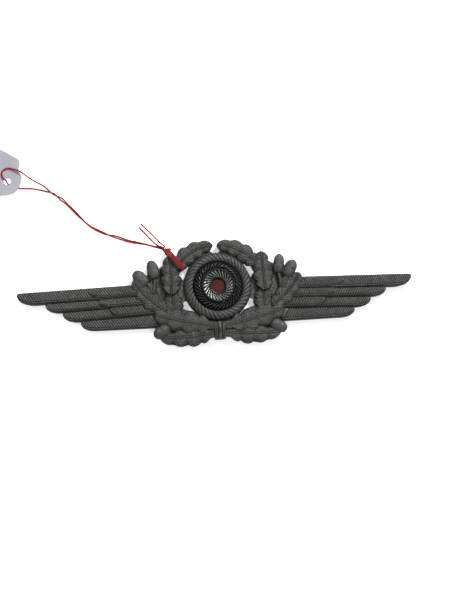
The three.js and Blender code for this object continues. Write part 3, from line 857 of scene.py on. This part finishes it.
# ---------------------------------------------------------------------------------------------
# The tie: a zinc band with ribs at its edges and a pearl, which gathers the stems of the lower
# leaves, cast in one with the plate.
# ---------------------------------------------------------------------------------------------
def rounded_bar(x, width, low_y, high_y, foot, top):
    """An upright bar along Y with a half-round top, in mm from the wreath's middle."""
    made = bmesh.new()
    half = width / 2
    profile = [(-half, foot)]
    profile += [(-half * math.cos(a), top - half + half * math.sin(a)) for a in np.linspace(0, math.pi, 9)]
    profile.append((half, foot))
    ends = []
    for y in np.linspace(low_y, high_y, 5):
        sink = 0.25 if y in (low_y, high_y) else 0
        ends.append([made.verts.new(((x + a) * MM, y * MM + WREATH_Y, max(foot, b - sink) * MM))
                     for a, b in profile])
    for near, far in zip(ends, ends[1:]):
        for k in range(len(profile)):
            after = (k + 1) % len(profile)
            made.faces.new((near[k], near[after], far[after], far[k]))
    made.faces.new(ends[0][::-1])
    made.faces.new(ends[-1])
    mesh = bpy.data.meshes.new("bar")
    made.to_mesh(mesh)
    made.free()
    return mesh


bars = [rounded_bar(x - 0.3, 0.42, -17.1, -11.9, 1.6, 4.5) for x in (-1.45, -1.0, 1.0, 1.45)]
bars.append(rounded_bar(-0.3, 1.9, -17.2, -11.7, 1.6, 4.3))
pearl = turned([(0.65 * math.sin(a), 0.5 - 0.5 * math.cos(a)) for a in np.linspace(0, math.pi, 13)], 24)
bars.append(laid(pearl, (-0.3, -15.0), (-0.3, -13.7), 4.35, 1.0))
piece("tie", bars, zinc, "badge")


# ---------------------------------------------------------------------------------------------
# The cockade: a black enamelled ribbed ring round a bright ribbed dish with a felt centre, all
# pressed parts on a steel plate.
# ---------------------------------------------------------------------------------------------
def black_gloss(tree, place):
    worn = Socket.node(tree, "ShaderNodeAttribute", {"attribute_name": "worn"}).out("Fac")
    highlight_streaks = noise(tree, place, 0.0005, 4, 0.7)
    # Painted highlight: the base colour turns lighter on the rib crests, broken into streaks by noise,
    # standing in for the lamps' glints on glossy enamel.
    tone = shade(tree, highlight_streaks * 0.4 + worn, [(0.72, (0.0016, 0.0018, 0.0030)), (0.92, (0.020, 0.021, 0.025))])
    return {
        "Base Color": tone,
        "Roughness": shade(tree, noise(tree, place, 0.0011, 3), [(0.3, (0.08,) * 3), (0.8, (0.20,) * 3)]),
        "Normal": bumped(tree, noise(tree, place, 0.0004, 3), 0.00003),
        "Specular IOR Level": 0.5,
    }


def bright_silver(tree, place):
    worn = Socket.node(tree, "ShaderNodeAttribute", {"attribute_name": "worn"}).out("Fac")
    tarnish = noise(tree, place, 0.0025, 3, 0.5)
    # Lighter on the rib crests and darker in the valleys: tarnish in the valleys, with a painted highlight on
    # the crests that brings out the ribs.
    tone = shade(tree, worn * 3.0 + tarnish * 0.3 - 1.15, [
        (0.1, (0.010, 0.013, 0.010)), (0.5, (0.045, 0.052, 0.045)), (0.9, (0.17, 0.185, 0.165))])
    return {
        "Base Color": tone,
        "Metallic": 0.9,
        "Roughness": shade(tree, tarnish, [(0.3, (0.20,) * 3), (0.75, (0.36,) * 3)]),
        "Normal": bumped(tree, noise(tree, place, 0.0002, 3), 0.00003),
    }


def red_felt(tree, place):
    fibre = noise(tree, place, 0.00018, 5, 0.75, 0.6)
    blotch = noise(tree, place, 0.0012, 3, 0.6)
    tone = shade(tree, fibre * 0.5 + blotch * 0.5, [
        (0.34, (0.012, 0.003, 0.003)), (0.68, (0.092, 0.019, 0.016))])
    return {
        "Base Color": tone,
        "Roughness": 0.95,
        "Normal": bumped(tree, fibre, 0.00018),
        "Specular IOR Level": 0.1,
        "Sheen Weight": 0.1,
    }


black_enamel = material_with("black_enamel", black_gloss)
silver = material_with("tarnished_silver", bright_silver)
felt = material_with("brick_red_felt", red_felt)

BLACK_RIBS = 36
black_ring = ribbed_ring(black_enamel, 5.3, 7.6, 2.5, 4.75, 3.8, 0.6, BLACK_RIBS, 0.7, -math.tan(0.8), 0.9)
obj = piece("black_ring", [black_ring], black_enamel, "badge", 60)
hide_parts("cockade_black_ring")
DISH_RIBS = 26
dish = ribbed_ring(silver, 2.5, 4.75, 2.5, 4.1, 5.1, 0.05, DISH_RIBS, 0.45, math.tan(0.6), 0.8)
rim = [(5.2, 2.5), (5.2, 5.3), (5.12, 5.5), (4.95, 5.6), (4.8, 5.5), (4.72, 5.2), (4.7, 2.5)]
collar = [(2.62, 2.5), (2.62, 4.5), (2.52, 4.62), (2.42, 4.6), (2.38, 4.45), (2.38, 2.5)]


def band(profile, steps):
    """A closed turned ring round the cockade from a section that closes on itself, in mm."""
    made = bmesh.new()
    rings = []
    for r, z in profile:
        rings.append([made.verts.new((r * MM * math.cos(2 * math.pi * k / steps),
                                      r * MM * math.sin(2 * math.pi * k / steps) + COCKADE_Y, z * MM))
                      for k in range(steps)])
    for i, ring in enumerate(rings):
        after = rings[(i + 1) % len(rings)]
        for k in range(steps):
            made.faces.new((ring[k], ring[(k + 1) % steps], after[(k + 1) % steps], after[k]))
    mesh = bpy.data.meshes.new("band")
    made.to_mesh(mesh)
    made.free()
    return mesh


obj = piece("silver_dish", [dish, band(rim, 96), band(collar, 64)], silver, "badge", 50)
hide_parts("cockade_silver_dish")
pad = [(0, 2.5), (2.34, 2.5), (2.34, 3.7), (2.2, 3.85), (1.9, 3.95), (1.4, 4.02), (0.8, 4.08), (0.0, 4.1)]
centre = turned(pad, 48)
for vert in centre.vertices:
    vert.co = (vert.co.x * MM, vert.co.y * MM + COCKADE_Y, vert.co.z * MM)
obj = piece("felt_centre", [centre], felt, "badge", 60)
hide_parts("cockade_felt_disc")


# ---------------------------------------------------------------------------------------------
# The steel pieces behind: the cockade's plate and bridge, the pads soldered to the wings, and the
# prong legs of tinned strip that fold flat.
# ---------------------------------------------------------------------------------------------
def tinned_steel(tree, place):
    stretched = Socket.node(tree, "ShaderNodeMapping", {}, {"Vector": place, "Scale": (1, 12, 12)})
    streak = noise(tree, stretched, 0.004, 3)
    spot = noise(tree, place, 0.0009, 4, 0.65)
    tone = shade(tree, spot, [
        (0.3, (0.10, 0.095, 0.085)), (0.55, (0.30, 0.295, 0.28)), (0.8, (0.46, 0.455, 0.44))])
    return {
        "Base Color": tone,
        "Metallic": 0.9,
        "Roughness": shade(tree, spot, [(0.3, (0.62,) * 3), (0.8, (0.34,) * 3)]),
        "Normal": bumped(tree, streak, 0.00003),
    }


steel = material_with("tinned_steel", tinned_steel)
for name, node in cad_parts.items():
    if "prong" in name or name == "cockade_back_plate":
        node.data.materials.clear()
        node.data.materials.append(steel)


# ---------------------------------------------------------------------------------------------
# The tag: a pale lavender card with a punched hole, cut to shape. It lies flat beyond the wing,
# tied on with the thread.
# ---------------------------------------------------------------------------------------------
def lavender_card(tree, place):
    fibre = noise(tree, place, 0.0004, 5, 0.7)
    cloud = noise(tree, place, 0.006, 3)
    tone = shade(tree, fibre * 0.5 + cloud * 0.5, [
        (0.35, (0.205, 0.196, 0.232)), (0.65, (0.260, 0.250, 0.288))])
    return {"Base Color": tone, "Roughness": 0.55, "Normal": bumped(tree, fibre, 0.00005)}


card = material_with("lavender_card", lavender_card)
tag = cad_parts["tag"]
tag.data.materials.clear()
tag.data.materials.append(card)


# ---------------------------------------------------------------------------------------------
# The floor and the lights: a pale table, and soft studio light from the upper left.
# ---------------------------------------------------------------------------------------------
def pale_floor(tree, place):
    return {
        "Base Color": (0.8, 0.8, 0.8, 1),
        "Roughness": 0.8,
        "Emission Color": (1, 1, 1, 1),
        "Emission Strength": 0.45,
    }


floor_mesh = bpy.data.meshes.new("floor")
floor_mesh.from_pydata([(-1, -1, 0), (1, -1, 0), (1, 1, 0), (-1, 1, 0)], [], [(0, 1, 2, 3)])
floor = bpy.data.objects.new("floor", floor_mesh)
floor_mesh.materials.append(material_with("pale_floor", pale_floor))
bpy.context.scene.collection.objects.link(floor)


def soft_light(name, place, size, power):
    data = bpy.data.lights.new(name, "AREA")
    data.shape, data.size, data.energy = "SQUARE", size, power
    lamp = bpy.data.objects.new(name, data)
    bpy.context.scene.collection.objects.link(lamp)
    lamp.location = place
    lamp.rotation_mode = "QUATERNION"
    lamp.rotation_quaternion = (-Vector(place)).to_track_quat("-Z", "Y")


soft_light("key", (0.24, 0.36, 0.40), 0.14, 5.5)
soft_light("fill", (-0.35, 0.25, 0.45), 0.14, 1.1)
soft_light("front", (0.05, -0.45, 0.45), 0.3, 1.6)
world = bpy.data.worlds.new("studio")
world.use_nodes = True
world.node_tree.nodes["Background"].inputs["Color"].default_value = (1, 1, 1, 1)
world.node_tree.nodes["Background"].inputs["Strength"].default_value = 0.45
bpy.context.scene.world = world
bpy.context.scene.view_settings.view_transform = "Standard"
